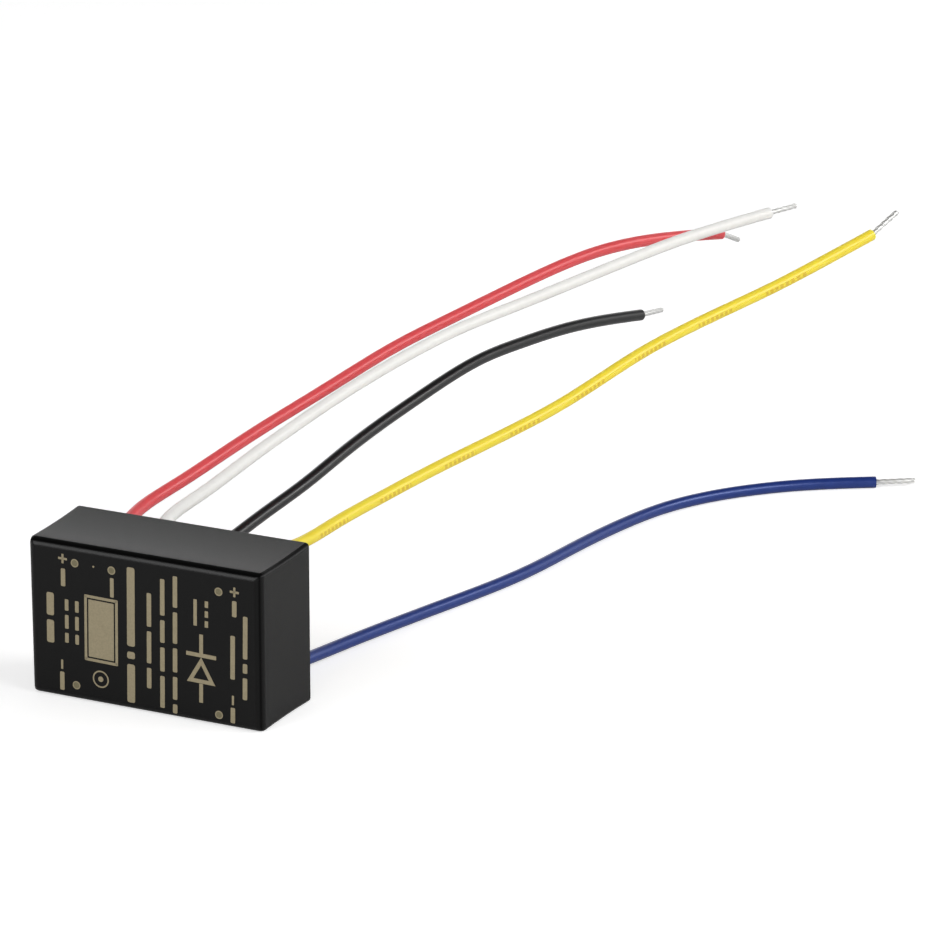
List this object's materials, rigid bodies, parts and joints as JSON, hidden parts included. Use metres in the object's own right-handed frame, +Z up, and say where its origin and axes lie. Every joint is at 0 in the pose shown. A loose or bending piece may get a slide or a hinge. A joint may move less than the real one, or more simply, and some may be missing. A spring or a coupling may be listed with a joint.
{
  "type": "led driver module",
  "caption": "Small potted step-down LED driver: black moulded box on its long side, coloured stripped leads leaving its resin-filled back.",
  "frame": {"origin": "centre of the bottom of the case as it stands on its long side, leads left out", "axes": "+X along the case, +Y from the printed face to the open back where the leads leave, +Z up"},
  "size_m": [0.0687, 0.1323, 0.0382],
  "materials": {
    "moulded_case": "fine matte mould finish",
    "cast_resin": "satin cast resin",
    "board_laminate": "solder mask",
    "tinned_copper": "tinned strands",
    "solder": "bright tin",
    "ferrite": "matte fired ferrite",
    "enamelled_copper": "enamelled wire",
    "chip_mould": "moulded package",
    "capacitor_ceramic": "fired ceramic",
    "resistor_glaze": "glazed chip",
    "red_insulation": "extruded, semi-gloss",
    "white_insulation": "extruded, semi-gloss",
    "black_insulation": "extruded, semi-gloss",
    "yellow_insulation": "extruded, semi-gloss",
    "blue_insulation": "extruded, semi-gloss"
  },
  "bodies": {
    "root": {"case": "moulded_case", "fill": "cast_resin", "board": "board_laminate", "soldered_ends": "tinned_copper", "solder_joints": "solder", "inductor_core": "ferrite", "inductor_winding": "enamelled_copper", "inductor_shield": "ferrite", "inductor_terminals": "solder", "converter_chip": "chip_mould", "chip_pins": "solder", "diode": "chip_mould", "diode_tabs": "solder", "capacitors": "capacitor_ceramic", "capacitor_ends": "solder", "resistors": "resistor_glaze", "resistor_ends": "solder", "red_lead": "red_insulation", "red_tip": "tinned_copper", "white_lead": "white_insulation", "white_tip": "tinned_copper", "black_lead": "black_insulation", "black_tip": "tinned_copper", "yellow_lead": "yellow_insulation", "yellow_tip": "tinned_copper", "blue_lead": "blue_insulation", "blue_tip": "tinned_copper"}
  },
  "joints": []
}
